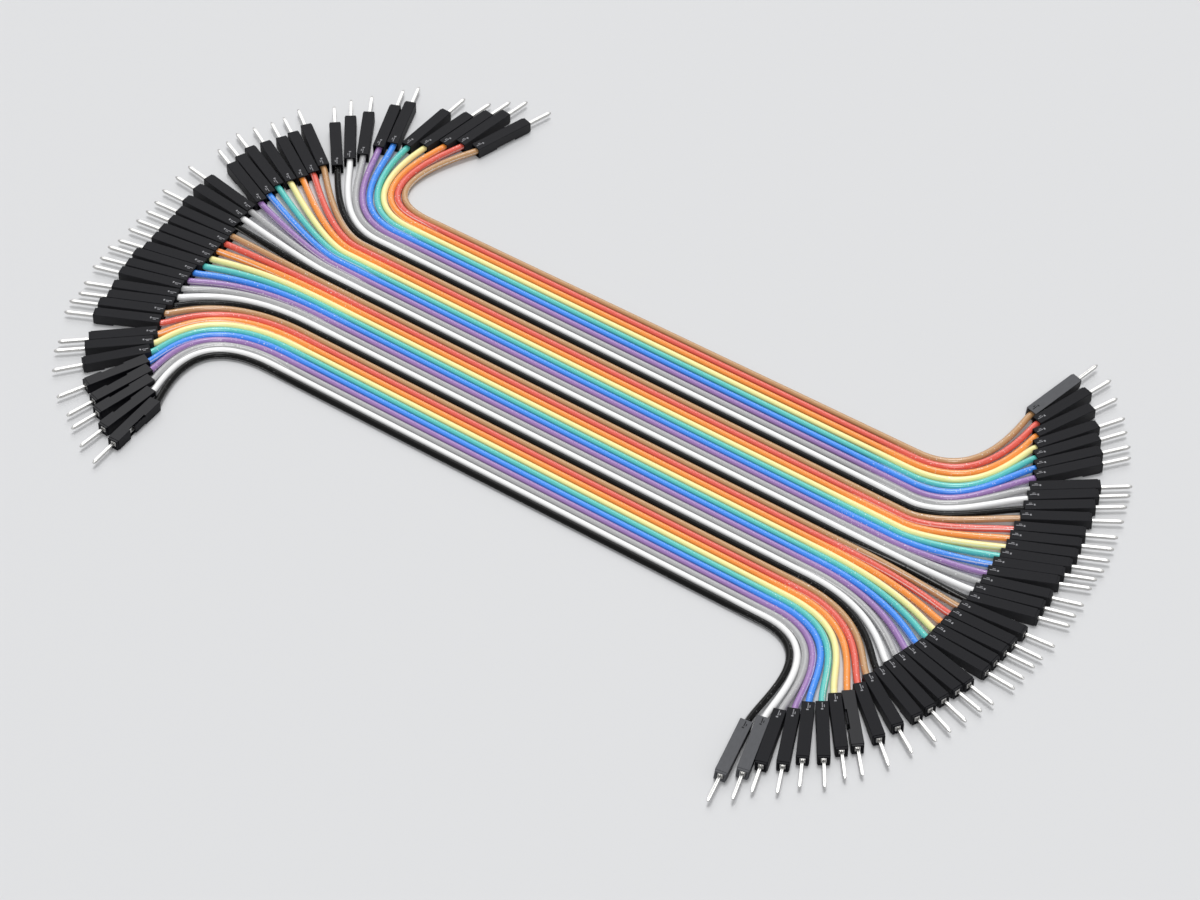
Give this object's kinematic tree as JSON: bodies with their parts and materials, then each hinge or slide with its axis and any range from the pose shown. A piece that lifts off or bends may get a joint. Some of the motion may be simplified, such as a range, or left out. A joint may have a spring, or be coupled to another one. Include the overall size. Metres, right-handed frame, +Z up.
{
  "type": "breadboard jumper wire ribbon",
  "caption": "Flat rainbow ribbon of bonded jumper wires that split and fan out at both ends into single black housings with square male pins.",
  "frame": {"origin": "middle of the whole outline, on the surface that the ribbon lies on", "axes": "+X along the straight run of the ribbon, towards its right-hand fan; +Y across it, towards the edge with the first brown wire; +Z up"},
  "size_m": [0.2218, 0.1412, 0.0025],
  "materials": {
    "insulation_brown": "semi-gloss extruded PVC insulation",
    "insulation_red": "semi-gloss extruded PVC insulation",
    "insulation_orange": "semi-gloss extruded PVC insulation",
    "insulation_yellow": "semi-gloss extruded PVC insulation",
    "insulation_teal": "semi-gloss extruded PVC insulation",
    "insulation_blue": "semi-gloss extruded PVC insulation",
    "insulation_purple": "semi-gloss extruded PVC insulation",
    "insulation_gray": "semi-gloss extruded PVC insulation",
    "insulation_white": "semi-gloss extruded PVC insulation",
    "insulation_black": "semi-gloss extruded PVC insulation",
    "housing": "satin black moulded plastic",
    "contact": "bright tin plating"
  },
  "bodies": {
    "root": {"wire_01_brown": "insulation_brown", "housing_01_left": "housing", "contact_01_left": "contact", "housing_01_right": "housing", "contact_01_right": "contact", "jumper_02_red": "insulation_red", "jumper_03_orange": "insulation_orange", "jumper_04_yellow": "insulation_yellow", "jumper_05_teal": "insulation_teal", "jumper_06_blue": "insulation_blue", "jumper_07_purple": "insulation_purple", "jumper_08_gray": "insulation_gray", "jumper_09_white": "insulation_white", "wire_10_black": "insulation_black", "housing_10_left": "housing", "contact_10_left": "contact", "housing_10_right": "housing", "contact_10_right": "contact", "jumper_11_brown": "insulation_brown", "jumper_12_red": "insulation_red", "jumper_13_orange": "insulation_orange", "jumper_14_yellow": "insulation_yellow", "jumper_15_teal": "insulation_teal", "jumper_16_blue": "insulation_blue", "jumper_17_purple": "insulation_purple", "jumper_18_gray": "insulation_gray", "jumper_19_white": "insulation_white", "wire_20_black": "insulation_black", "housing_20_left": "housing", "contact_20_left": "contact", "housing_20_right": "housing", "contact_20_right": "contact", "jumper_21_brown": "insulation_brown", "jumper_22_red": "insulation_red", "jumper_23_orange": "insulation_orange", "jumper_24_yellow": "insulation_yellow", "jumper_25_teal": "insulation_teal", "jumper_26_blue": "insulation_blue", "jumper_27_purple": "insulation_purple", "jumper_28_gray": "insulation_gray", "jumper_29_white": "insulation_white", "wire_30_black": "insulation_black", "housing_30_left": "housing", "contact_30_left": "contact", "housing_30_right": "housing", "contact_30_right": "contact", "jumper_31_brown": "insulation_brown", "jumper_32_red": "insulation_red", "jumper_33_orange": "insulation_orange", "jumper_34_yellow": "insulation_yellow", "jumper_35_teal": "insulation_teal", "jumper_36_blue": "insulation_blue", "jumper_37_purple": "insulation_purple", "jumper_38_gray": "insulation_gray", "jumper_39_white": "insulation_white", "wire_40_black": "insulation_black", "housing_40_left": "housing", "contact_40_left": "contact", "housing_40_right": "housing", "contact_40_right": "contact"}
  },
  "joints": []
}
